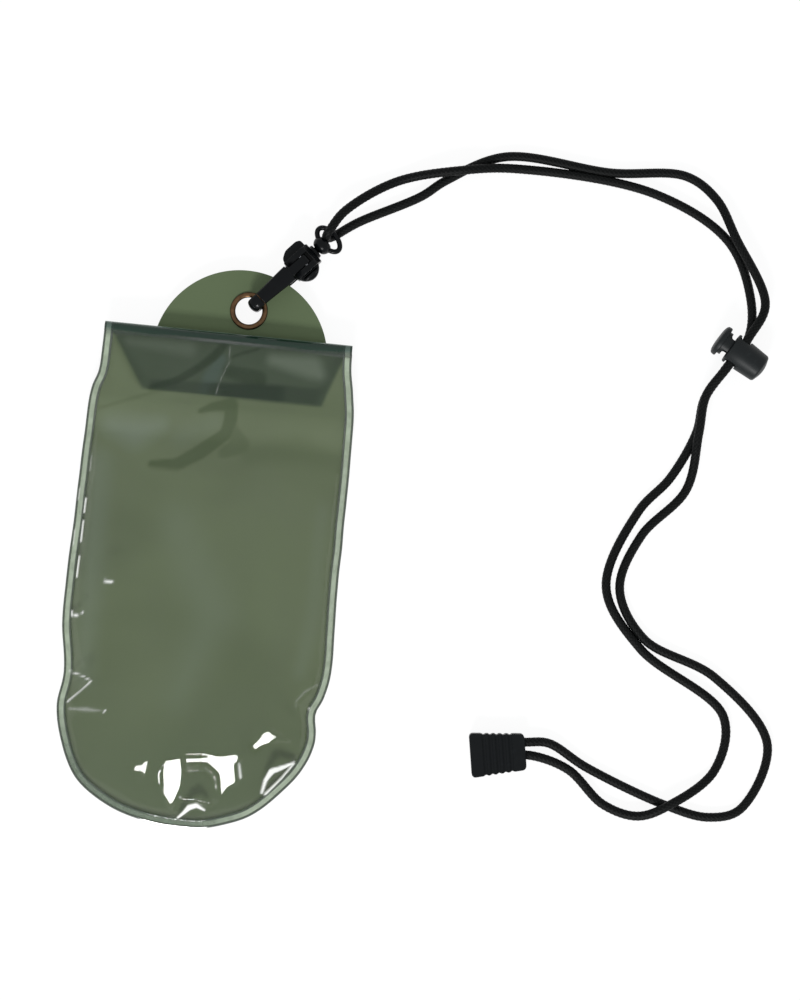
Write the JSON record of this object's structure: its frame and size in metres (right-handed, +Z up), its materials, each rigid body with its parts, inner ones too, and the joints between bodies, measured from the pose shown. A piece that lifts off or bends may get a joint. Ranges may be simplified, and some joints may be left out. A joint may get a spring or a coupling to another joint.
{
  "type": "waterproof pouch with neck lanyard",
  "caption": "Green waterproof pouch with a clear front, a folded closure and an eyelet tab, on a snap hook and an adjustable neck cord.",
  "frame": {"origin": "on the table, at the middle of the closed pouch's flat back", "axes": "+X across the pouch to the right, +Y along it towards the hang tab, +Z up out of the clear front"},
  "size_m": [0.2624, 0.2578, 0.0152],
  "materials": {
    "green_sheet": "soft olive green plastic sheet, slightly translucent",
    "clear_film": "clear glossy flexible film",
    "closure_strip": "dark green hook and loop tape",
    "eyelet_brass": "antique brass",
    "black_plastic": "black moulded plastic, satin",
    "spring_steel": "bright spring wire",
    "cord_braid": "black round braid"
  },
  "bodies": {
    "pouch": {"back_sheet": "green_sheet", "front_film": "clear_film", "hook_strip": "closure_strip", "loop_strip": "closure_strip", "eyelet_barrel": "eyelet_brass", "eyelet_washer": "eyelet_brass"},
    "hook": {"hook_body": "black_plastic", "gate_pin": "spring_steel", "gate_spring": "spring_steel"},
    "gate": {"hook_gate": "black_plastic"},
    "lanyard": {"swivel_ring": "black_plastic", "neck_cord": "cord_braid", "lock_barrel": "black_plastic", "lock_spring": "spring_steel", "cord_end_base": "black_plastic", "cord_end_cover": "black_plastic"},
    "plunger": {"lock_plunger": "black_plastic"}
  },
  "joints": [
    {"name": "hook_swing", "type": "hinge", "parent": "pouch", "child": "hook", "pos_m": [0.0062, 0.1, 0.005], "axis": [0, 0, 1], "range_deg": [-15, 60]},
    {"name": "gate_hinge", "type": "hinge", "parent": "hook", "child": "gate", "pos_m": [0.02441, 0.11994, 0.0102], "axis": [-0.7385, 0.6743, 0], "range_deg": [-12, 0], "stiffness_Nm_per_rad": 0.05, "springref_deg": 8.59, "deforming": ["gate_spring"]},
    {"name": "swivel", "type": "hinge", "parent": "hook", "child": "lanyard", "pos_m": [0.02913, 0.12511, 0.0046], "axis": [0.6743, 0.7385, 0], "continuous": true},
    {"name": "lock_button", "type": "slide", "parent": "lanyard", "child": "plunger", "axis": [0.8616, -0.5075, 0], "range_m": [0, 0.003], "stiffness_N_per_m": 300, "springref_m": -0.003, "deforming": ["lock_spring"]}
  ]
}
